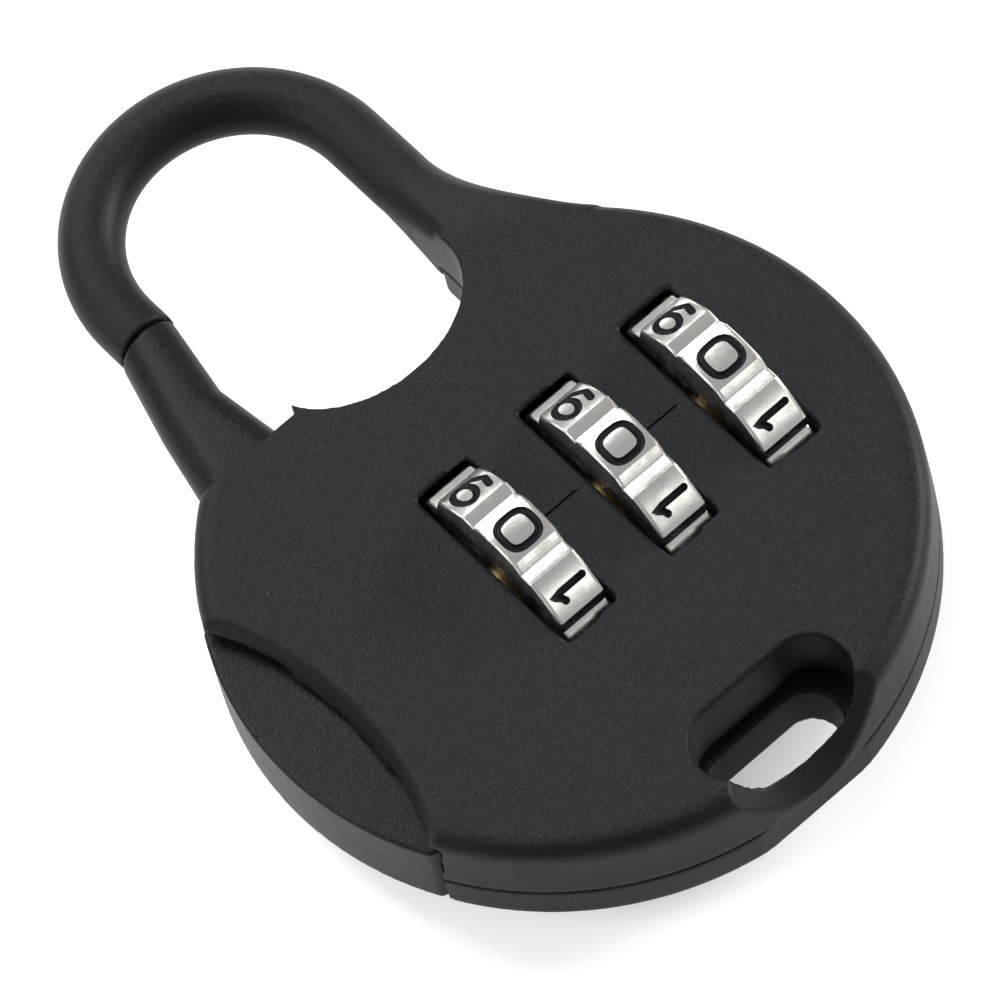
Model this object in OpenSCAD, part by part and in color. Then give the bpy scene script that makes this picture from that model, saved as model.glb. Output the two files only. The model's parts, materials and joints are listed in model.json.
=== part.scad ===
// Luggage combination padlock: a thin round body with a fixed hook, a gate that
// swings clear of the hook when the thumb tab is pressed, and three number dials.
// X runs along the dial axis, Y towards the hook, Z out of the front face.
// The origin is the centre of the whole lock's outline box, half way through its thickness.

/* [Body] */
// Radius of the round body at its parting line
body_r = 20.15; // [20.1:0.05:20.2]
// Thickness of the body from face to face
body_t = 7; // [7:0.1:7.4]
// Amount that the side wall leans in towards each face
draft = 0.1; // [0.05:0.05:0.3]
// Radius of the soft shoulder between face and side wall
shoulder_r = 1.1; // [0.8:0.1:1.2]
// Radius of the rounding at the back cover's edge
back_round = 0.45; // [0.3:0.05:0.6]
// Thickness of the front plate
front_wall = 1.1; // [1:0.05:1.1]
// Thickness of the back plate
back_wall = 0.9; // [0.8:0.05:0.9]
// Thickness of the rim wall
rim_wall = 1.6; // [1.4:0.1:1.7]
// Height of the parting line above mid thickness
parting_z = -0.9; // [-0.95:0.05:-0.85]

/* [Hook] */
// Radius of the round bar
bar_r = 1.9; // [1.8:0.05:1.9]
// Radius of the hook's top bend, at the middle of the bar
bend_r = 8.33; // [8.3:0.01:8.35]
// Distance of the bend's centre from the body's centre
bend_y = 28.1; // [28:0.1:28.6]
// Offset of the hook's middle line from the body's centre
bend_x = 0.7; // [0.65:0.01:0.75]
// Radius of the hollow sweep where the hook's root runs into the body's outline
root_sweep = 16; // [15.5:0.5:16.5]

/* [Gate lever] */
// Pivot, sideways from the body's centre
pivot_x = -7.6; // [-7.7:0.05:-7.5]
// Pivot, up from the body's centre
pivot_y = 10.8; // [10.7:0.05:10.9]
// Radius of the pivot pin
pivot_r = 1; // [0.9:0.05:1]
// Distance from the pivot to the gate's end face
gate_reach = 15.45; // [15.3:0.05:15.6]
// Gap between the gate's end face and the hook
gate_gap = 0.15; // [0.12:0.01:0.2]
// Distance from the pivot to the thumb tab's lower end
tab_reach = 22.5; // [22.4:0.05:22.6]
// Top of the thumb tab above mid thickness
tab_top = 1.75; // [1.7:0.05:1.75]
// Underside of the plate behind the thumb tab
plate_bottom = -2.35; // [-2.4:0.05:-2.3]
// Underside of the thumb tab's skirt, at the body's outline
tab_bottom = -3.3; // [-3.35:0.05:-3.2]

/* [Dials] */
// Radius of a dial
dial_r = 6.7; // [6.6:0.05:6.75]
// Width of a dial
dial_w = 3.2; // [3:0.05:3.25]
// Distance from dial to dial
dial_pitch = 7.38; // [7.36:0.01:7.4]
// Place of the first dial along X
dial_first = -2.72; // [-2.75:0.01:-2.7]
// Place of the dial axis along Y
dial_y = 0.4; // [0.35:0.05:0.45]
// Depth of the V grooves between the numbers
groove_d = 0.35; // [0.3:0.05:0.35]
// Turn of the dials that brings a number square to the reader
dial_turn = 6; // [5:0.5:7]

/* [Lanyard slot] */
// Length of the slot
slot_l = 10.2; // [10:0.1:10.2]
// Width of the slot
slot_w = 4.7; // [4.5:0.1:4.7]
// Place of the slot along X
slot_x = 0.5; // [0.4:0.1:0.6]
// Place of the slot along Y
slot_y = -16.45; // [-16.5:0.05:-16.4]

/* [Hidden] */
$fn = 96;
eps = 0.01;
half_t = body_t / 2;
past = body_r + 5;                        // further out than anything a cut has to clear
hook_top = bend_y + bend_r + bar_r;
outline_y = (hook_top - body_r) / 2;      // middle of the outline box, from the body's centre
cavity_top = half_t - front_wall;
cavity_floor = back_wall - half_t;
cavity_r = body_r - rim_wall;
chord_y = 15.4;                           // straight edge that the gate comes out under
mouth_x = -5.5;                           // end of the gate's mouth, beside the hook's loop
mouth_y = 12.9;                           // bottom of the gate's mouth
loop_y = 17.5;                            // centre of the loop's rounded floor
loop_a = 6.5;
loop_b = 4.75;
scallop_c = -36;                          // centre of the finger scallop, along X
scallop_r = 20.5;
scallop_lip = 1.2;
scallop_slope = 0.5;                      // how far its wall leans out each side of scallop_r
port_start = 149.2;                       // first angle of the opening that the tab fills
tab_start = 151.2;
tab_out_r = body_r - 0.05;
tip_x = bend_x - bend_r;                  // middle of the gate's tip, under the hook's end
gate_r = 1.85;                            // half the gate's thickness
gate_top = [26.6, tip_x - gate_r, tip_x + gate_r];
gate_waist = [21, -11.1, -6.8];
gate_foot = [15, -12.45, -6.1];
lever_boss_r = 2.4;
spring_room = [1.4, 2.05];                // inner and outer radius of the groove for its spring
tab_in_x = -13;
skirt_r = tab_out_r - 1.2;                // inside of the tab's skirt
skirt_gap = 0.2;
tab_gap = 0.25;
press = 10.9;                             // how far the lever turns
pressed_x = pivot_x - pivot_x * cos(press) + pivot_y * sin(press);
pressed_y = pivot_y - pivot_x * sin(press) - pivot_y * cos(press);
groove_z = -0.5;                          // fine groove round the tab's side
groove_w = 0.18;
window_l = 12.24;
window_w = 3.68;
dial_gap = 0.35;
dial_x = [for (i = [0:2]) dial_first + i * dial_pitch];
web_t = 1.2;
web_x = [dial_x[0] - 2.98, dial_x[0] + dial_pitch / 2, dial_x[1] + dial_pitch / 2, dial_x[2] + 3.4];
sleeve_r = 2.1;
sleeve_bore = 1.6;
sleeve_l = [3.4, 3.55];                   // how far a sleeve reaches left and right of its dial
running = 0.05;
shaft_r = 0.8;
fin_w = 0.7;
fin_t = 0.8;
fin_r = 1.45;
flange_t = 0.8;
flange_gap = 0.2;
fin_x = -1.6;                             // left face of a fin at rest, from its dial's middle
nose_x = pivot_x - 2.6;
nose_r = 0.8;
head_x = nose_x + nose_r + 0.12;          // face that the lever's nose pushes
head_t = 0.8;
head_r = 1.3;
plate_edge = [[-12.4, 15.1], [-6.3, 15.1], [-6.3, 13.2], [-5.5, 11.6], [-8.6, 8.6], [-9.6, 5.6],
    [nose_x - 0.2, dial_y + 1], [nose_x - 0.2, dial_y - 1], [-12.2, -1.4], [-12.6, -9.5],
    [-16.5, -9.5], [-17.6, 0], [-16.6, 8], [-13, 12.4]];
spring_z = -1.95;                         // underside of the lever's spring
seat_r = 1.05;
shaft_end = 13.9;
spring_end = 18;
screw_at = [[-6.8, -12.4], [9.6, -12.2], [12.6, 9.6], [1, 9.35]];
screw_r = 0.8;
screw_head_r = 1.5;
screw_tip = 1.4;
boss_r = 1.75;
leaf_y = -8.1;
leaf_t = 0.25;
leaf_half = 1.5;
leaf_end = leaf_half + 0.5;
leaf_w = 2.4;
nose_w = 0.6;                             // width of the leaf where it sits in a groove
post_w = 0.9;
post_x = leaf_half + 0.6;
leaf_z = -(dial_r - groove_d) * sin(dial_turn);
flat_y = -19.75;                          // flat across the bottom of the back cover
back_slot = [7.9, 3.2];
back_slot_at = [0, -16.65];
back_slot_flare = 0.9;                    // how much wider it is at the parting line
index_l = 2.7;
index_w = 0.14;
index_d = 0.15;
pin_end = half_t - 0.65;
pin_boss_r = 2;
seat_t = 0.45;
tail_r = 0.4;
tail_l = 1.2;
dip_r = 8;                                // rim dished down beside the lanyard slot
dip_angle = 46;
dip_y = -16.2;                            // where the dished rim leaves the face
shell_colour = [0.1, 0.1, 0.11];
nickel = [0.75, 0.74, 0.72];
steel = [0.6, 0.6, 0.62];
brass = [0.75, 0.6, 0.3];

// --- helpers ---------------------------------------------------------------

module in_frame() {
    translate([0, -outline_y, 0]) children();
}

// A flat outline between two heights
module slab(z0, z1) {
    translate([0, 0, z0]) linear_extrude(z1 - z0) children();
}

// A rod along X between two places on the dial axis
module axle(r, x0, x1, sides = $fn) {
    translate([x0, dial_y, 0]) rotate([0, 90, 0]) cylinder(r = r, h = x1 - x0, $fn = sides);
}

// A long round-ended outline along X
module stadium(l, w) {
    for (s = [-1, 1]) translate([s * (l - w) / 2, 0]) circle(d = w);
    square([l - w, w], center = true);
}

// The rounded floor of the hook's loop, with everything above it
module loop_floor(grow = 0) {
    polygon(concat(
        [for (a = [180:7.5:360])
            [bend_x + (loop_a + grow) * cos(a), loop_y + (loop_b + grow) * sin(a)]],
        [[bend_x + loop_a + grow, body_r + 1], [bend_x - loop_a - grow, body_r + 1]]));
}

// A slice of the gate, round-sided, across Y: at is its Y, its left side and its right side
module slice(at, hz) {
    for (x = [at[1] + hz, at[2] - hz])
        translate([x, at[0], 0]) rotate([90, 0, 0]) cylinder(r = hz, h = 0.1, center = true, $fn = 32);
}

// A coil spring: wire_r is the wire's radius, coil_r the radius of its middle line
module coil(wire_r, coil_r, length, turns, sides = 8, steps = 20) {
    rings = turns * steps;
    points = [for (i = [0:rings], j = [0:sides - 1])
        let (a = 360 * i / steps, b = 360 * j / sides, r = coil_r + wire_r * cos(b))
        [r * cos(a), r * sin(a), wire_r + (length - 2 * wire_r) * i / rings + wire_r * sin(b)]];
    walls = [for (i = [0:rings - 1], j = [0:sides - 1])
        let (k = (j + 1) % sides)
        [i * sides + j, (i + 1) * sides + j, (i + 1) * sides + k, i * sides + k]];
    polyhedron(points, concat([[for (j = [0:sides - 1]) j]], walls,
        [[for (j = [sides - 1:-1:0]) rings * sides + j]]), convexity = 6);
}

// --- shells ----------------------------------------------------------------

// The whole round body, solid, with its leaning side wall and soft shoulders
module body_blank() {
    face_r = body_r - draft;
    rotate_extrude() polygon(concat(
        [[0, -half_t]],
        [for (a = [-90:22.5:0])
            [body_r - back_round + back_round * cos(a), back_round - half_t + back_round * sin(a)]],
        [[body_r, parting_z]],
        [for (a = [0:15:90])
            [face_r - shoulder_r + shoulder_r * cos(a), half_t - shoulder_r + shoulder_r * sin(a)]],
        [[0, half_t]]));
}

// The sector that the tab swings in, less the child
module tab_port() {
    intersection() {
        translate([pivot_x, pivot_y]) circle(r = tab_reach + tab_gap, $fn = 192);
        difference() {
            polygon([[0, 0], past * 2 * [cos(port_start), sin(port_start)], past * 2 * [-1, -1]]);
            children();
        }
    }
}

// What both halves are cut by: the loop, the chord over the gate, scallop, slot and windows
module shared_cuts() {
    slab(-past, past) loop_floor();
    translate([-past, chord_y, -past]) cube([past + mouth_x, body_r - chord_y, 2 * past]);
    translate([-past, mouth_y, cavity_floor])
        cube([past + mouth_x, body_r - mouth_y, cavity_top - cavity_floor]);
    translate([scallop_c, 0, 0]) rotate_extrude($fn = 192) polygon([[0, -past],
        [scallop_r - scallop_slope, -past], [scallop_r - scallop_slope, tab_top],
        [scallop_r + 3 * scallop_slope, 2 * half_t - tab_top], [0, 2 * half_t - tab_top]]);
    slab(cavity_floor, cavity_top) tab_port() circle(r = cavity_r - 2);
    for (x = dial_x) {
        translate([x, dial_y, 0]) cube([window_w, window_l, past], center = true);
        axle(dial_r + dial_gap, x - window_w / 2, x + window_w / 2);
    }
}

// The inside: a round room, less the loop's wall, the slot's wall and the screw bosses
module cavity_outline() {
    difference() {
        circle(r = cavity_r);
        loop_floor(rim_wall - 0.3);
        translate([slot_x, slot_y]) stadium(slot_l + 2 * front_wall, slot_w + 2 * front_wall);
        for (p = screw_at) translate(p) circle(r = boss_r);
    }
}

// Webs between the dials, with open-bottomed bearings for the sleeves
module webs(z0, z1) {
    for (x = web_x) translate([x - web_t / 2, dial_y - 5, z0]) cube([web_t, 10, z1 - z0]);
}

module bearings() {
    axle(sleeve_r + running, web_x[0] - web_t, web_x[3] + web_t);
}

// Posts that hold the ends of the detent leaves
module leaf_posts(z0, z1) {
    for (x = dial_x, s = [-1, 1])
        translate([x + s * post_x, leaf_y, (z0 + z1) / 2])
            difference() {
                cube([post_w, 1.6, z1 - z0], center = true);
                translate([-s * post_w / 2, 0, 0]) cube([post_w, leaf_t + 0.1, past], center = true);
            }
}

// A cross-section of the hook's root: a rounded box from x0 to x1 and from -hz to hz
function root_section(y, x0, x1, hz, corner) = [
    for (q = [0:3], a = [0:15:90])
        let (b = 90 * q + a, right = q == 0 || q == 3, top = q < 2)
        [(right ? x1 - corner : x0 + corner) + corner * cos(b), y,
            (top ? hz - corner : corner - hz) + corner * sin(b)]];

// The hook's root: round like the bar at its top, spreading in one sweep into the flat body
module hook_root() {
    x_bar = bend_x + bend_r;
    sweep_x = x_bar + bar_r + root_sweep;
    sweep_y = sqrt(pow(body_r + root_sweep, 2) - pow(sweep_x, 2));
    y_low = body_r * sweep_y / (body_r + root_sweep);
    steps = 16;
    sides = 28;
    skin = 0.02;                          // keeps its faces just under the body's and the bar's
    points = [for (i = [0:steps])
        let (y = sweep_y + (y_low - sweep_y) * i / steps,
            t = min(1, i / (steps - 3)),
            rise = t * t * (3 - 2 * t))
        each root_section(y, x_bar - bar_r + skin,
            sweep_x - skin - sqrt(pow(root_sweep, 2) - pow(y - sweep_y, 2)),
            bar_r - skin + (half_t - bar_r) * rise, bar_r - 1.5 * skin + (shoulder_r - bar_r) * rise)];
    walls = [for (i = [0:steps - 1], j = [0:sides - 1], h = [0, 1])
        let (k = (j + 1) % sides, n = i * sides, m = n + sides)
        h == 0 ? [n + j, m + j, m + k] : [n + j, m + k, n + k]];
    polyhedron(points, concat([[for (j = [0:sides - 1]) j]], walls,
        [[for (j = [sides - 1:-1:0]) steps * sides + j]]), convexity = 4);
    translate([x_bar, bend_y, 0]) rotate([90, 0, 0]) cylinder(r = bar_r, h = bend_y - sweep_y + 0.3);
}

// The hook: a round bar bent over, open at its left end and rooted in the body at its right
module hook() {
    translate([bend_x, bend_y, 0]) rotate_extrude(angle = 180) translate([bend_r, 0]) circle(r = bar_r);
    translate([bend_x - bend_r, bend_y, 0]) rotate([90, 0, 0]) cylinder(r = bar_r, h = 4);
    hook_root();
}

module front_shell() color(shell_colour) in_frame() difference() {
    union() {
        intersection() {
            body_blank();
            translate([-past, -past, parting_z]) cube([2 * past, 2 * past, past]);
        }
        difference() {
            hook();
            slab(-past, parting_z) circle(r = body_r + 0.1);
            slab(-past, past) circle(r = cavity_r + 0.3);
        }
    }
    difference() {
        slab(parting_z - eps, cavity_top) cavity_outline();
        webs(parting_z, cavity_top + eps);
        leaf_posts(parting_z, cavity_top);
        // lip under the scallop's edge, just above the tab, and the pin's boss
        slab(tab_top + 0.3, cavity_top + eps) intersection() {
            translate([scallop_c, 0]) circle(r = scallop_r + scallop_lip, $fn = 192);
            translate([-past, -8.6]) square([past, 17.2]);
        }
        slab(tab_top + 0.1, cavity_top + eps) translate([pivot_x, pivot_y]) circle(r = pin_boss_r);
    }
    shared_cuts();
    bearings();
    translate([web_x[0] - web_t, dial_y - sleeve_r - running, parting_z - eps])
        cube([web_x[3] - web_x[0] + 2 * web_t, 2 * (sleeve_r + running), -parting_z]);
    axle(seat_r, web_x[3], spring_end);
    // seats of the pivot pin and of the screws
    translate([pivot_x, pivot_y, 0]) cylinder(r = pivot_r, h = pin_end + 0.05);
    for (p = screw_at) translate([p[0], p[1], parting_z - eps])
        cylinder(r = screw_r, h = screw_tip - parting_z);
    // lanyard slot and the swept-down rim beside it
    slab(-past, past) translate([slot_x, slot_y]) stadium(slot_l, slot_w);
    translate([slot_x, dip_y, half_t]) rotate([dip_angle, 0, 0]) translate([0, 0, dip_r])
        rotate([90, 0, 0]) cylinder(r = dip_r, h = 12);
    // room for the gate's end, and the index lines beside the windows
    slab(-past, past) intersection() {
        translate([pivot_x, pivot_y]) circle(r = gate_reach + gate_gap, $fn = 192);
        translate([-past, bend_y - 8]) square([past + pivot_x + 3, past]);
    }
    for (x = [dial_x[0], dial_x[1]])
        translate([x + window_w / 2 - eps, dial_y + 0.3, half_t - index_d]) cube([index_l, index_w, 1]);
}

module back_cover() color(shell_colour) in_frame() difference() {
    intersection() {
        body_blank();
        translate([-past, -past, parting_z - 0.03 - past]) cube([2 * past, 2 * past, past]);
    }
    difference() {
        slab(cavity_floor, parting_z) cavity_outline();
        webs(cavity_floor - eps, parting_z);
        leaf_posts(cavity_floor - eps, parting_z);
        slab(cavity_floor - eps, spring_z - 0.05) translate([pivot_x, pivot_y]) circle(r = pin_boss_r);
    }
    shared_cuts();
    bearings();
    translate([web_x[0] - web_t, dial_y - sleeve_r - running, -eps])
        cube([web_x[3] - web_x[0] + 2 * web_t, 2 * (sleeve_r + running), eps]);
    // notch that the tab's skirt swings into
    slab(-past, cavity_floor + eps) tab_port()
        translate([pressed_x, pressed_y]) circle(r = skirt_r - skirt_gap);
    // blind seat of the pivot pin, and the countersunk screw holes
    translate([pivot_x, pivot_y, -pin_end - 0.05]) cylinder(r = pivot_r, h = half_t);
    for (p = screw_at) translate([p[0], p[1], -half_t - eps]) {
        cylinder(r = screw_r + 0.1, h = half_t);
        cylinder(r1 = screw_head_r + 0.1 + eps, r2 = screw_r + 0.1, h = 0.8);
    }
    // lanyard slot, opening out towards the parting line
    hull() for (s = [-1, 1])
        translate([back_slot_at[0] + s * (back_slot[0] - back_slot[1]) / 2, back_slot_at[1], -half_t - eps])
            cylinder(d1 = back_slot[1], d2 = back_slot[1] + back_slot_flare,
                h = half_t + parting_z, $fn = 64);
    translate([-past, flat_y - past, -past]) cube([2 * past, past, 2 * past]);
}

module cover_screws() color(steel) in_frame() for (p = screw_at)
    translate([p[0], p[1], -half_t]) difference() {
        union() {
            cylinder(r1 = screw_head_r, r2 = screw_r, h = 0.75);
            cylinder(r = screw_r, h = half_t + screw_tip - 0.1);
        }
        for (a = [0, 90]) rotate(a) translate([-0.85, -0.15, -eps]) cube([1.7, 0.3, 0.4]);
    }

// --- gate lever ------------------------------------------------------------

module gate_lever() color(shell_colour) in_frame() {
    difference() {
        union() {
            // gate: a round tip that spreads into the flat root
            intersection() {
                union() for (ends = [[gate_top, gate_waist], [gate_waist, gate_foot]])
                    hull() for (at = ends) slice(at, gate_r);
                slab(-half_t, half_t) translate([pivot_x, pivot_y]) circle(r = gate_reach, $fn = 192);
            }
            // root, pivot boss and the plate down to the tab
            slab(-gate_r, tab_top) intersection() {
                union() {
                    polygon(plate_edge);
                    translate([nose_x, dial_y]) circle(r = nose_r);
                    translate([pivot_x, pivot_y]) circle(r = lever_boss_r);
                }
                translate([pivot_x, pivot_y]) circle(r = tab_reach, $fn = 192);
            }
            // thumb tab, filling the scallop out to the body's round outline
            slab(plate_bottom, tab_top) intersection() {
                circle(r = tab_out_r);
                translate([pivot_x, pivot_y]) circle(r = tab_reach, $fn = 192);
                polygon([[tab_in_x, 7.2], past * [cos(tab_start), sin(tab_start)], [-past, -past],
                    [tab_in_x, -past]]);
            }
            slab(tab_bottom, plate_bottom + eps) intersection() {
                difference() {
                    circle(r = tab_out_r);
                    circle(r = skirt_r);
                }
                translate([pivot_x, pivot_y]) circle(r = tab_reach, $fn = 192);
                polygon([[0, 0], past * [cos(tab_start), sin(tab_start)], [-past, -past]]);
            }
        }
        slab(groove_z, groove_z + groove_w) difference() {
            circle(r = past);
            circle(r = tab_out_r - groove_w);
        }
        translate([pivot_x, pivot_y, -past]) cylinder(r = pivot_r + running, h = 2 * past);
        // seat of the torsion spring around the pivot
        translate([pivot_x, pivot_y, spring_z - 0.05]) difference() {
            cylinder(r = spring_room[1], h = 1.35);
            cylinder(r = spring_room[0], h = 2);
        }
    }
}

module pivot_pin() color(steel) in_frame()
    translate([pivot_x, pivot_y, -pin_end]) cylinder(r = pivot_r, h = 2 * pin_end);

module lever_spring() color(steel) in_frame()
    translate([pivot_x, pivot_y, spring_z]) coil(0.14, 1.72, 1.2, 3.5);

// --- spindle ---------------------------------------------------------------

module spindle() color(brass) in_frame() {
    axle(head_r, head_x, head_x + head_t, 48);
    axle(shaft_r, head_x + head_t / 2, shaft_end, 48);
    axle(tail_r, shaft_end - 0.5, shaft_end + tail_l, 32);
    for (x = dial_x)
        intersection() {
            translate([x + fin_x, dial_y - fin_w / 2, 0]) cube([fin_t, fin_w, fin_r]);
            axle(fin_r, x + fin_x, x + fin_x + fin_t);
        }
}

module spindle_spring() color(steel) in_frame()
    translate([shaft_end + 0.03, dial_y, 0]) rotate([0, 90, 0])
        coil(0.13, 0.75, spring_end - seat_t - shaft_end - 0.05, 6);

module spring_seat() color(brass) in_frame() axle(seat_r, spring_end - seat_t, spring_end, 48);

// --- dials -----------------------------------------------------------------

// Zinc number wheel: ten lands, a V groove between each, side edges chamfered
module dial(i) {
    side = 0.2;
    translate([dial_x[i], dial_y, 0]) rotate([0, 90, 0]) rotate(dial_turn) difference() {
        union() {
            cylinder(r = dial_r, h = dial_w - 2 * side, center = true);
            for (s = [-1, 1]) scale([1, 1, s]) translate([0, 0, dial_w / 2 - side])
                cylinder(r1 = dial_r, r2 = dial_r - side, h = side);
        }
        cylinder(r = sleeve_r, h = 2 * dial_w, center = true);
        for (k = [0:9]) rotate(36 * k + 18) translate([dial_r - groove_d, 0, 0])
            linear_extrude(2 * dial_w, center = true) polygon([[0, 0], [1, 2], [1, -2]]);
        // keyway for the sleeve's key
        translate([sleeve_r - 0.2, -0.5, -dial_w]) cube([0.8, 1, 2 * dial_w]);
    }
}

// Brass sleeve under a dial: its inner flange has one gate for the spindle's fin
module sleeve(i) {
    x = dial_x[i];
    difference() {
        union() {
            axle(sleeve_r, x - sleeve_l[0], x + sleeve_l[1]);
            translate([x, dial_y, 0]) rotate([0, 90, 0]) rotate(dial_turn)
                translate([sleeve_r - 0.3, -0.45, -dial_w / 2])
                    cube([0.8, 0.9, dial_w]);
        }
        axle(sleeve_bore, x - sleeve_l[0] - eps, x + fin_x + fin_t + flange_gap);
        axle(sleeve_bore, x + fin_x + fin_t + flange_gap + flange_t, x + sleeve_l[1] + eps);
        axle(shaft_r + running, x - 5, x + 5, 48);
        translate([x - 5, dial_y - fin_w / 2 - 0.1, 0]) cube([10, fin_w + 0.2, sleeve_bore]);
    }
}

module dial_left() color(nickel) in_frame() dial(0);
module dial_middle() color(nickel) in_frame() dial(1);
module dial_right() color(nickel) in_frame() dial(2);
module sleeve_left() color(brass) in_frame() sleeve(0);
module sleeve_middle() color(brass) in_frame() sleeve(1);
module sleeve_right() color(brass) in_frame() sleeve(2);

// Spring-steel leaf: its bowed middle drops into a dial's grooves
module detent_leaf(i) {
    tip_y = dial_y - (dial_r - groove_d) * cos(dial_turn) - 0.25;
    reach = tip_y - leaf_t / 2 - leaf_y;
    bow = [for (x = [-leaf_half:leaf_half / 8:leaf_half]) [x, reach * pow(cos(90 * x / leaf_half), 2)]];
    edge = concat([[-leaf_end, 0]], bow, [[leaf_end, 0]]);
    last = len(edge) - 1;
    translate([dial_x[i], leaf_y, leaf_z]) intersection() {
        slab(-leaf_w / 2, leaf_w / 2) polygon(concat(
            [for (k = [0:last]) edge[k] + [0, leaf_t / 2]],
            [for (k = [last:-1:0]) edge[k] - [0, leaf_t / 2]]));
        // narrow at the nose, full width where the posts hold it
        rotate([90, 0, 0]) linear_extrude(past, center = true)
            polygon([for (s = [-1, 1]) each [[-s * leaf_end, s * leaf_w / 2], [0, s * nose_w / 2],
                [s * leaf_end, s * leaf_w / 2]]]);
    }
}

module detent_leaf_left() color(steel) in_frame() detent_leaf(0);
module detent_leaf_middle() color(steel) in_frame() detent_leaf(1);
module detent_leaf_right() color(steel) in_frame() detent_leaf(2);

front_shell();
back_cover();
cover_screws();
gate_lever();
pivot_pin();
lever_spring();
spindle();
spindle_spring();
spring_seat();
dial_left();
dial_middle();
dial_right();
sleeve_left();
sleeve_middle();
sleeve_right();
detent_leaf_left();
detent_leaf_middle();
detent_leaf_right();
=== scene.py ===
import json
import math
import bpy
import bmesh
from mathutils import Matrix, Vector

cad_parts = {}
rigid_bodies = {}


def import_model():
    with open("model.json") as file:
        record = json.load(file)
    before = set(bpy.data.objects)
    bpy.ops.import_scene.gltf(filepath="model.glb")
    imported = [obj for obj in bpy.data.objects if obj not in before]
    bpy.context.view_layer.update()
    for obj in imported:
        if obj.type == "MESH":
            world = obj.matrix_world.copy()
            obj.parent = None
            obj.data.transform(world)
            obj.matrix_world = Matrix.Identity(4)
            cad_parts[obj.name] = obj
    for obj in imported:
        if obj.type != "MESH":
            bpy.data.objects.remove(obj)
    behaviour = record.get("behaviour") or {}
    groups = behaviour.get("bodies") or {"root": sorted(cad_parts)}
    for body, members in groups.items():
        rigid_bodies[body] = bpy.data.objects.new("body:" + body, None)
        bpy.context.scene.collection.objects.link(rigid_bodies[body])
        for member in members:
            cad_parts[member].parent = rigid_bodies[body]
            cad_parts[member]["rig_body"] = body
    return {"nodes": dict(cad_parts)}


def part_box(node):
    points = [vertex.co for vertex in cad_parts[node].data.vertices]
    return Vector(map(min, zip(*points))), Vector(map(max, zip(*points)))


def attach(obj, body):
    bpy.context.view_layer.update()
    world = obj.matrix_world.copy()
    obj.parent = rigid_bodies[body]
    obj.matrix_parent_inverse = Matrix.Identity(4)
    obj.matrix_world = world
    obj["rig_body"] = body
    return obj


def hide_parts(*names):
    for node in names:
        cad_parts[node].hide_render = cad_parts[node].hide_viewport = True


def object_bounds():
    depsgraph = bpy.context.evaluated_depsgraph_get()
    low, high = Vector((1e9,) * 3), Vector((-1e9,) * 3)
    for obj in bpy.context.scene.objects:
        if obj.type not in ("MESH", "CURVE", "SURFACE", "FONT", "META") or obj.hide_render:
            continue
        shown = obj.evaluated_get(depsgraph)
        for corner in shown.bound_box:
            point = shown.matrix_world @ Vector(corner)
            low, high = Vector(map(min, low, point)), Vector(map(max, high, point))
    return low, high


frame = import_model()
cad_low, cad_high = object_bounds()
nodes = frame["nodes"]
mm = 0.001

# --- View -------------------------------------------------------------------
# A long lens looks down on the lock from its thumb-tab side, a little turned,
# so that the hook points to the upper left and the dials run up to the right.
look_at = Vector((-0.43, -4.05, 0.0)) * mm
view_azimuth = math.radians(-28.3)
view_elevation = math.radians(60.4)
view_roll = math.radians(-15.2)
view_distance = 578.4 * mm

back = Vector((math.sin(view_azimuth) * math.cos(view_elevation),
               -math.cos(view_azimuth) * math.cos(view_elevation),
               math.sin(view_elevation)))
level = Vector((0, 0, 1)).cross(back).normalized()
upright = back.cross(level)
right = level * math.cos(view_roll) + upright * math.sin(view_roll)
lens_mm = 383.7
sensor_mm = 36
camera = bpy.data.objects.new("camera", bpy.data.cameras.new("camera"))
camera.data.lens = lens_mm
camera.data.sensor_width = sensor_mm
camera.data.clip_end = 10
camera.matrix_world = (Matrix.Translation(look_at + back * view_distance)
                       @ Matrix((right, back.cross(right), back)).transposed().to_4x4())
bpy.context.scene.collection.objects.link(camera)
bpy.context.scene.camera = camera
bpy.context.scene.view_settings.view_transform = "Standard"


# --- Table and lights -------------------------------------------------------
# The lock lies on a plain white table under soft panels: one beyond the hook, a low
# one that lights the rim, a dim one for the thumb side and one beyond the slot.
def shader(name, base, roughness, metallic=0.0):
    """A new material and its Principled node."""
    material = bpy.data.materials.new(name)
    material.use_nodes = True
    surface = material.node_tree.nodes["Principled BSDF"]
    surface.inputs["Base Color"].default_value = (*base, 1)
    surface.inputs["Roughness"].default_value = roughness
    surface.inputs["Metallic"].default_value = metallic
    return material, surface


def add(name, mesh_builder):
    """A new object whose mesh is the given bmesh, which is freed."""
    mesh = bpy.data.meshes.new(name)
    mesh_builder.to_mesh(mesh)
    mesh_builder.free()
    piece = bpy.data.objects.new(name, mesh)
    bpy.context.scene.collection.objects.link(piece)
    return piece


table_half = 1.5
bm = bmesh.new()
bmesh.ops.create_grid(bm, x_segments=2, y_segments=2, size=table_half)
bmesh.ops.translate(bm, verts=bm.verts, vec=(0, 0, cad_low.z))
table = add("table_top", bm)
table_white, surface = shader("table_white", (0.8, 0.8, 0.8), 0.7)
surface.inputs["Emission Color"].default_value = (1, 1, 1, 1)
surface.inputs["Emission Strength"].default_value = 0.4
table.data.materials.append(table_white)


def panel(name, place, width, height, power):
    """A soft rectangular light that faces the lock; metres and watts."""
    light = bpy.data.objects.new(name, bpy.data.lights.new(name, "AREA"))
    light.data.shape = "RECTANGLE"
    light.data.size = width
    light.data.size_y = height
    light.data.energy = power
    light.location = place
    light.rotation_euler = Vector(place).to_track_quat("Z", "Y").to_euler()
    bpy.context.scene.collection.objects.link(light)


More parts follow.
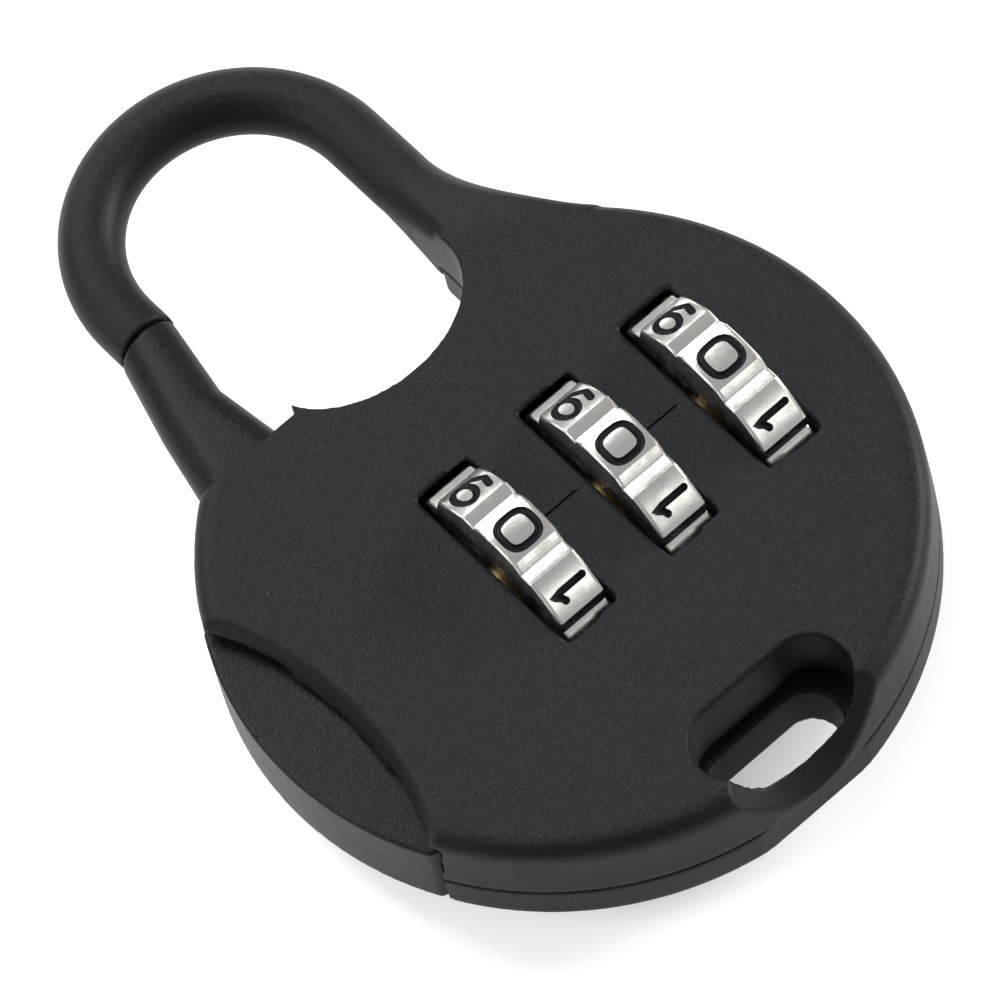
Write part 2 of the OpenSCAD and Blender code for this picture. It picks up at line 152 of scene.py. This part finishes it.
panel("panel_over_hook", (0.0, 0.7, 0.75), 0.6, 0.5, 11)
panel("panel_rim", (0.75, -0.2, 0.3), 0.4, 0.3, 8)
panel("panel_thumb", (-0.65, 0.25, 0.45), 0.35, 0.3, 3.5)
panel("panel_beyond_slot", (0.25, -0.85, 0.5), 0.6, 0.4, 0.8)
world = bpy.data.worlds.new("soft_room")
bpy.context.scene.world = world
world.use_nodes = True
room_light = world.node_tree.nodes["Background"]
room_light.inputs["Color"].default_value = (0.95, 0.97, 1, 1)
room_light.inputs["Strength"].default_value = 0.45


# --- Black moulded plastic --------------------------------------------------
# Both shells and the lever are moulded in black plastic: flat faces carry a fine
# spark-eroded grain, side walls are smoother, and there is a little dust. The grain's
# pits also carry a painted glint: a lighter base colour that stands in for their highlights.
def new_group(name, ins, outs):
    """A shader node group with named sockets, and its input and output nodes."""
    group = bpy.data.node_groups.new(name, "ShaderNodeTree")
    for label, kind, value in ins:
        socket = group.interface.new_socket(label, in_out="INPUT", socket_type=kind)
        socket.default_value = value
    for label, kind in outs:
        group.interface.new_socket(label, in_out="OUTPUT", socket_type=kind)
    return group, group.nodes.new("NodeGroupInput"), group.nodes.new("NodeGroupOutput")


def node(tree, kind, **settings):
    """A new node in a node tree, with its settings."""
    made = tree.nodes.new(kind)
    for key, value in settings.items():
        setattr(made, key, value)
    return made


def math_node(tree, operation, first, second):
    """The result of a sum on two values, each a number or a socket."""
    made = node(tree, "ShaderNodeMath", operation=operation)
    for socket, value in zip(made.inputs, (first, second)):
        if isinstance(value, (int, float)):
            socket.default_value = value
        else:
            tree.links.new(value, socket)
    return made.outputs[0]


def noise(tree, vector, scale, detail=2.0, rough=0.5):
    """Noise from nought to one; scale is a number or a socket, in cells a metre."""
    made = node(tree, "ShaderNodeTexNoise")
    made.inputs["Detail"].default_value = detail
    made.inputs["Roughness"].default_value = rough
    tree.links.new(vector, made.inputs["Vector"])
    if isinstance(scale, (int, float)):
        made.inputs["Scale"].default_value = scale
    else:
        tree.links.new(scale, made.inputs["Scale"])
    return made.outputs["Fac"]


def ramp(tree, value, low, high):
    """Nought below low, one above high, and even between them."""
    made = node(tree, "ShaderNodeMapRange")
    made.inputs["From Min"].default_value = low
    made.inputs["From Max"].default_value = high
    tree.links.new(value, made.inputs["Value"])
    return made.outputs["Result"]


# Grain lies full on faces that look along Z, and at the Side grain's share elsewhere.
grain, grain_in, grain_out = new_group(
    "moulded_grain",
    [("Grains per metre", "NodeSocketFloat", 6500.0),
     ("Side grain", "NodeSocketFloat", 0.3),
     ("Dust", "NodeSocketFloat", 0.5)],
    [(label, "NodeSocketFloat") for label in ("Height", "Shine", "Dust", "Tone", "Painted glint")])
where = node(grain, "ShaderNodeTexCoord")
split = node(grain, "ShaderNodeSeparateXYZ")
grain.links.new(where.outputs["Normal"], split.inputs[0])
flat = ramp(grain, math_node(grain, "ABSOLUTE", split.outputs["Z"], 0), 0.7, 0.98)
amount = math_node(grain, "MAXIMUM", flat, grain_in.outputs["Side grain"])
pits = noise(grain, where.outputs["Object"], grain_in.outputs["Grains per metre"], 3.0, 0.65)
grain.links.new(math_node(grain, "MULTIPLY", pits, amount), grain_out.inputs["Height"])
# painted highlight: where the grain's pits should glint, the base colour is lifted
grain.links.new(math_node(grain, "MULTIPLY", ramp(grain, pits, 0.4, 0.75), amount),
                grain_out.inputs["Painted glint"])
blotch = noise(grain, where.outputs["Object"], 180.0, 3.0)
grain.links.new(blotch, grain_out.inputs["Tone"])
shine = math_node(grain, "ADD", math_node(grain, "MULTIPLY", pits, 0.12),
                  math_node(grain, "MULTIPLY", blotch, 0.1))
grain.links.new(shine, grain_out.inputs["Shine"])
specks = ramp(grain, noise(grain, where.outputs["Object"], 2600.0, 1.0), 0.79, 0.86)
grain.links.new(math_node(grain, "MULTIPLY", specks, grain_in.outputs["Dust"]),
                grain_out.inputs["Dust"])
mean_shine = 0.11
# the lighter bluish colour of the painted glint in the grain's pits
painted_glint_colour = (0.014, 0.0165, 0.0205, 1)
dust_colour = (0.12, 0.12, 0.12, 1)


def mixed(tree, first, second, factor):
    """A blend of two colours, each a value or a socket, by a socket from nought to one."""
    made = node(tree, "ShaderNodeMix", data_type="RGBA")
    for label, colour in (("A", first), ("B", second)):
        if isinstance(colour, tuple):
            made.inputs[label].default_value = colour
        else:
            tree.links.new(colour, made.inputs[label])
    tree.links.new(factor, made.inputs["Factor"])
    return made.outputs["Result"]


def black_plastic(name, tone, roughness, side_grain, grain_depth):
    """Grained black plastic; tone is its darkest red, and it turns slightly blue."""
    material, surface = shader(name, (tone, tone, tone), roughness)
    tree = material.node_tree
    surface.inputs["Specular IOR Level"].default_value = 0.13
    skin = node(tree, "ShaderNodeGroup", node_tree=grain)
    skin.inputs["Side grain"].default_value = side_grain
    bump = node(tree, "ShaderNodeBump")
    bump.inputs["Strength"].default_value = grain_depth
    bump.inputs["Distance"].default_value = 0.06 * mm
    tree.links.new(skin.outputs["Height"], bump.inputs["Height"])
    tree.links.new(bump.outputs["Normal"], surface.inputs["Normal"])
    tree.links.new(math_node(tree, "ADD", skin.outputs["Shine"], roughness - mean_shine),
                   surface.inputs["Roughness"])
    plain = mixed(tree, (tone, tone * 1.1, tone * 1.35, 1),
                  (tone * 1.5, tone * 1.65, tone * 2, 1), skin.outputs["Tone"])
    # painted highlight: the grain's pits are lightened in the base colour to look lit
    painted_glint_mix = mixed(tree, plain, painted_glint_colour, skin.outputs["Painted glint"])
    dusty = mixed(tree, painted_glint_mix, dust_colour, skin.outputs["Dust"])
    tree.links.new(dusty, surface.inputs["Base Color"])
    return material


shell_black = black_plastic("shell_black", 0.003, 0.46, 0.3, 1.0)
lever_black = black_plastic("lever_black", 0.0015, 0.42, 0.3, 0.6)


# --- Front shell, back cover and gate lever ---------------------------------
# Three mouldings. Their edges are softly rounded by the mould and the hook's root
# runs into the body in one sweep, so each is remade from its solid as one skin.
def applied(piece):
    """Fixes a piece's modifiers into its mesh."""
    graph = bpy.context.evaluated_depsgraph_get()
    mesh = bpy.data.meshes.new_from_object(piece.evaluated_get(graph))
    piece.modifiers.clear()
    piece.data = mesh


def moulding(name, source, voxel, rounds, keep, material):
    """A node's solid remade as one skin: voxels, rounds of smoothing, share of faces kept."""
    bm = bmesh.new()
    bm.from_mesh(nodes[source].data)
    bmesh.ops.remove_doubles(bm, verts=bm.verts, dist=0.001 * mm)
    piece = add(name, bm)
    skin = piece.modifiers.new("skin", "REMESH")
    skin.mode = "VOXEL"
    skin.voxel_size = voxel
    skin.use_smooth_shade = True
    soften = piece.modifiers.new("soften", "SMOOTH")
    soften.factor = 0.5
    soften.iterations = rounds
    thin = piece.modifiers.new("thin", "DECIMATE")
    thin.ratio = keep
    applied(piece)
    piece.data.materials.clear()
    piece.data.materials.append(material)
    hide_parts(source)
    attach(piece, nodes[source]["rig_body"])
    return piece


front = moulding("front_shell_skin", "front_shell", 0.14 * mm, 8, 0.35, shell_black)
cover = moulding("back_cover_skin", "back_cover", 0.14 * mm, 6, 0.35, shell_black)
lever = moulding("gate_lever_skin", "gate_lever", 0.12 * mm, 6, 0.5, lever_black)

# A fine index line runs from the first and the second window towards the next one.
line_l = 2.7 * mm
line_w = 0.1 * mm
line_h = 0.14 * mm                        # half of it lies below the face
window_gap = 0.24 * mm                    # from a dial's side to the edge of its window
line_above_axis = 0.37 * mm
face_z = 3.5 * mm
bm = bmesh.new()
for side in ("left", "middle"):
    low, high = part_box(f"dial_{side}")
    centre = Vector((high.x + window_gap + line_l / 2, (low.y + high.y) / 2 + line_above_axis, face_z))
    bmesh.ops.create_cube(bm, size=1, matrix=Matrix.Translation(centre)
                          @ Matrix.Diagonal((line_l, line_w, line_h, 1)))
lines = add("index_lines", bm)
cut = front.modifiers.new("index_lines", "BOOLEAN")
cut.operation = "DIFFERENCE"
cut.solver = "EXACT"
cut.object = lines
applied(front)
bpy.data.objects.remove(lines)


# --- Brass, steel and the works inside --------------------------------------
# The spindle, its seat and the sleeves are turned brass; pin, springs, leaves and
# screws are steel. They show only through the windows, the mouth and the back.
turned, turned_in, turned_out = new_group(
    "turned_marks", [("Lines per metre", "NodeSocketFloat", 6000.0)],
    [("Shine", "NodeSocketFloat"), ("Tone", "NodeSocketFloat")])
spot = node(turned, "ShaderNodeTexCoord")
stretch = node(turned, "ShaderNodeMapping")
stretch.inputs["Scale"].default_value = (1, 0.08, 0.08)
turned.links.new(spot.outputs["Object"], stretch.inputs["Vector"])
turned.links.new(noise(turned, stretch.outputs["Vector"], turned_in.outputs["Lines per metre"], 2.0),
                 turned_out.inputs["Shine"])
turned.links.new(noise(turned, spot.outputs["Object"], 700.0, 3.0), turned_out.inputs["Tone"])


def turned_metal(name, light, dark, roughness):
    """Metal with fine turning lines, blotched between a light and a dark colour."""
    material, surface = shader(name, light, roughness, 1.0)
    tree = material.node_tree
    marks = node(tree, "ShaderNodeGroup", node_tree=turned)
    tree.links.new(math_node(tree, "ADD", math_node(tree, "MULTIPLY", marks.outputs["Shine"], 0.25),
                             roughness - 0.12), surface.inputs["Roughness"])
    tree.links.new(mixed(tree, (*light, 1), (*dark, 1), marks.outputs["Tone"]),
                   surface.inputs["Base Color"])
    return material


brass = turned_metal("sleeve_brass", (0.4, 0.28, 0.12), (0.24, 0.16, 0.07), 0.35)
spring_steel = turned_metal("spring_steel", (0.6, 0.6, 0.61), (0.4, 0.4, 0.41), 0.25)
screw_steel = turned_metal("screw_steel", (0.16, 0.16, 0.17), (0.07, 0.07, 0.075), 0.35)
finish = {"pivot_pin": spring_steel, "lever_spring": spring_steel, "spindle": brass,
          "spindle_spring": spring_steel, "spring_seat": brass, "cover_screws": screw_steel}
for side in ("left", "middle", "right"):
    finish[f"sleeve_{side}"] = brass
    finish[f"detent_leaf_{side}"] = spring_steel
for name, metal in finish.items():
    nodes[name].data.materials.clear()
    nodes[name].data.materials.append(metal)


# --- Number dials -----------------------------------------------------------
# Each dial is a nickel-plated zinc casting: ten lands with V grooves between them,
# a broken edge at each rim, and figures cast in and filled with black paint.
dial_low, dial_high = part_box("dial_middle")
dial_r = (dial_high.z - dial_low.z) / 2
dial_w = dial_high.x - dial_low.x
bore_r = 2.1 * mm
groove_half = math.radians(6)
groove_depth = 0.35 * mm
land_step = math.tau / 10
rim_chamfer = 0.22 * mm
dial_turn = math.radians(6)               # brings a number square to the reader

bright_nickel = (0.76, 0.735, 0.69)
dull_nickel = (0.5, 0.47, 0.42)
nickel, surface = shader("dial_nickel", bright_nickel, 0.24, 1.0)
tree = nickel.node_tree
spot = node(tree, "ShaderNodeTexCoord")
tarnish = ramp(tree, noise(tree, spot.outputs["Object"], 900.0, 4.0, 0.6), 0.45, 0.8)
tree.links.new(mixed(tree, (*bright_nickel, 1), (*dull_nickel, 1), tarnish),
               surface.inputs["Base Color"])
tree.links.new(math_node(tree, "ADD", math_node(tree, "MULTIPLY", tarnish, 0.2), 0.2),
               surface.inputs["Roughness"])
ripple = node(tree, "ShaderNodeBump")
ripple.inputs["Strength"].default_value = 0.25
ripple.inputs["Distance"].default_value = 0.03 * mm
tree.links.new(noise(tree, spot.outputs["Object"], 1500.0, 3.0), ripple.inputs["Height"])
tree.links.new(ripple.outputs["Normal"], surface.inputs["Normal"])
figure_black, surface = shader("figure_black", (0.004, 0.004, 0.005), 0.6)
surface.inputs["Specular IOR Level"].default_value = 0.15
tree = figure_black.node_tree
spot = node(tree, "ShaderNodeTexCoord")
tree.links.new(ramp(tree, noise(tree, spot.outputs["Object"], 3000.0, 2.0), -0.6, 1.4),
               surface.inputs["Roughness"])


# Each figure is a few strokes of a round tool. A stroke is a line of points on a cell
# one unit wide and one unit high.
def ring(x, y, rx, ry, squareness=1.0, steps=32):
    """A closed stroke: an ellipse, or a rounder-cornered box when squareness is below one."""
    turns = [math.tau * (k % steps) / steps for k in range(steps + 1)]
    return [(x + rx * math.copysign(abs(math.cos(t)) ** squareness, math.cos(t)),
             y + ry * math.copysign(abs(math.sin(t)) ** squareness, math.sin(t))) for t in turns]


figures = {
    0: [ring(0.5, 0.5, 0.5, 0.5, 0.66)],
    1: [[(0.25, 0.75), (0.4, 0.82), (0.55, 1), (0.55, 0)]],
    2: [[(0.08, 0.75), (0.15, 0.93), (0.5, 1), (0.85, 0.93), (0.92, 0.7), (0.7, 0.42),
         (0.05, 0), (0.95, 0)]],
    3: [[(0.08, 0.88), (0.5, 1), (0.88, 0.9), (0.9, 0.65), (0.4, 0.54), (0.92, 0.42),
         (0.9, 0.1), (0.5, 0), (0.06, 0.12)]],
    4: [[(0.7, 0), (0.7, 1), (0.02, 0.28), (1, 0.28)]],
    5: [[(0.9, 1), (0.15, 1), (0.1, 0.56), (0.6, 0.62), (0.92, 0.48), (0.92, 0.15), (0.5, 0),
         (0.06, 0.1)]],
    6: [[(0.85, 0.93), (0.45, 1), (0.12, 0.75), (0.06, 0.3)], ring(0.5, 0.3, 0.44, 0.3)],
    7: [[(0.05, 1), (0.95, 1), (0.35, 0)]],
    8: [ring(0.5, 0.76, 0.36, 0.24), ring(0.5, 0.27, 0.44, 0.27)],
    9: [[(0.15, 0.07), (0.55, 0), (0.88, 0.25), (0.94, 0.7)], ring(0.5, 0.7, 0.44, 0.3)],
}
figure_w = 1.95 * mm
figure_h = 2.1 * mm
stroke_r = 0.24 * mm
stroke_lift = 0.02 * mm                   # middle of a stroke above the land's rim circle
parts = 4                                 # each straight of a stroke follows the dial in parts


def stroke_cutters():
    """All ten figures as one mesh of round-ended tubes, half sunk in the dial's surface."""
    bm = bmesh.new()
    for value, strokes in figures.items():
        for stroke in strokes:
            points = []
            for (u0, v0), (u1, v1) in zip(stroke, stroke[1:]):
                points += [(u0 + (u1 - u0) * k / parts, v0 + (v1 - v0) * k / parts)
                           for k in range(parts)]
            points.append(stroke[-1])
            places = []
            for u, v in points:
                turn = (u - 0.5) * figure_w / dial_r - value * land_step
                r = dial_r + stroke_lift
                places.append(Vector(((0.5 - v) * figure_h, r * math.sin(turn), r * math.cos(turn))))
            curve = bpy.data.curves.new("stroke", "CURVE")
            curve.dimensions = "3D"
            curve.bevel_depth = stroke_r
            curve.bevel_resolution = 2
            curve.use_fill_caps = True
            closed = stroke[0] == stroke[-1]
            spline = curve.splines.new("POLY")
            spline.points.add(len(places) - closed - 1)
            for point, place in zip(spline.points, places):
                point.co = (*place, 1)
            spline.use_cyclic_u = closed
            holder = bpy.data.objects.new("stroke", curve)
            bpy.context.scene.collection.objects.link(holder)
            bpy.context.view_layer.update()
            tube = bpy.data.meshes.new_from_object(
                holder.evaluated_get(bpy.context.evaluated_depsgraph_get()))
            bm.from_mesh(tube)
            bpy.data.objects.remove(holder)
            if not closed:
                for end in (places[0], places[-1]):
                    bmesh.ops.create_icosphere(bm, subdivisions=2, radius=stroke_r,
                                               matrix=Matrix.Translation(end))
    cutter = add("figure_cutter", bm)
    cutter.data.materials.append(figure_black)
    return cutter


dial_segments = 240
outside_bore = 4 * mm                     # any radius between the bore and the grooves
same_height = 0.01 * mm


def number_wheel():
    """One dial, centred on the origin with its axis along X."""
    bm = bmesh.new()
    bmesh.ops.create_circle(bm, segments=dial_segments, radius=dial_r, cap_ends=False)
    for v in bm.verts:
        turn = math.atan2(v.co.y, v.co.x)
        from_groove = (turn % land_step) - land_step / 2
        sink = max(0.0, 1 - abs(from_groove) / groove_half) * groove_depth
        v.co *= (dial_r - sink) / dial_r
    outer = bm.edges[:]
    bore = bmesh.ops.create_circle(bm, segments=dial_segments, radius=bore_r, cap_ends=False)["verts"]
    inner = list({e for v in bore for e in v.link_edges})
    bmesh.ops.bridge_loops(bm, edges=outer + inner)
    bmesh.ops.translate(bm, verts=bm.verts, vec=(0, 0, -dial_w / 2))
    top = bmesh.ops.extrude_face_region(bm, geom=bm.faces[:] + bm.edges[:])["geom"]
    bmesh.ops.translate(bm, verts=[g for g in top if isinstance(g, bmesh.types.BMVert)],
                        vec=(0, 0, dial_w))
    bmesh.ops.recalc_face_normals(bm, faces=bm.faces[:])
    rim = [e for e in bm.edges if all(v.co.xy.length > outside_bore for v in e.verts)
           and abs(e.verts[0].co.z - e.verts[1].co.z) < same_height]
    bmesh.ops.bevel(bm, geom=rim, offset=rim_chamfer, segments=3, profile=0.5, affect="EDGES",
                    material=-1)
    # lay the axis along X, with the first land towards +Z
    bmesh.ops.rotate(bm, verts=bm.verts, cent=(0, 0, 0), matrix=Matrix.Rotation(math.pi / 2, 3, "Y"))
    wheel = add("wheel", bm)
    wheel.data.materials.append(nickel)
    return wheel


wheel = number_wheel()
cutter = stroke_cutters()
cut = wheel.modifiers.new("figures", "BOOLEAN")
cut.operation = "DIFFERENCE"
cut.solver = "EXACT"
cut.use_self = True
cut.material_mode = "TRANSFER"
cut.object = cutter
applied(wheel)
bpy.data.objects.remove(cutter)
for side in ("left", "middle", "right"):
    low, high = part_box(f"dial_{side}")
    dial = bpy.data.objects.new(f"number_dial_{side}", wheel.data.copy())
    dial.data.transform(Matrix.Translation((low + high) / 2) @ Matrix.Rotation(dial_turn, 4, "X"))
    bpy.context.scene.collection.objects.link(dial)
    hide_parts(f"dial_{side}")
    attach(dial, f"{side}_wheel")
bpy.data.objects.remove(wheel)
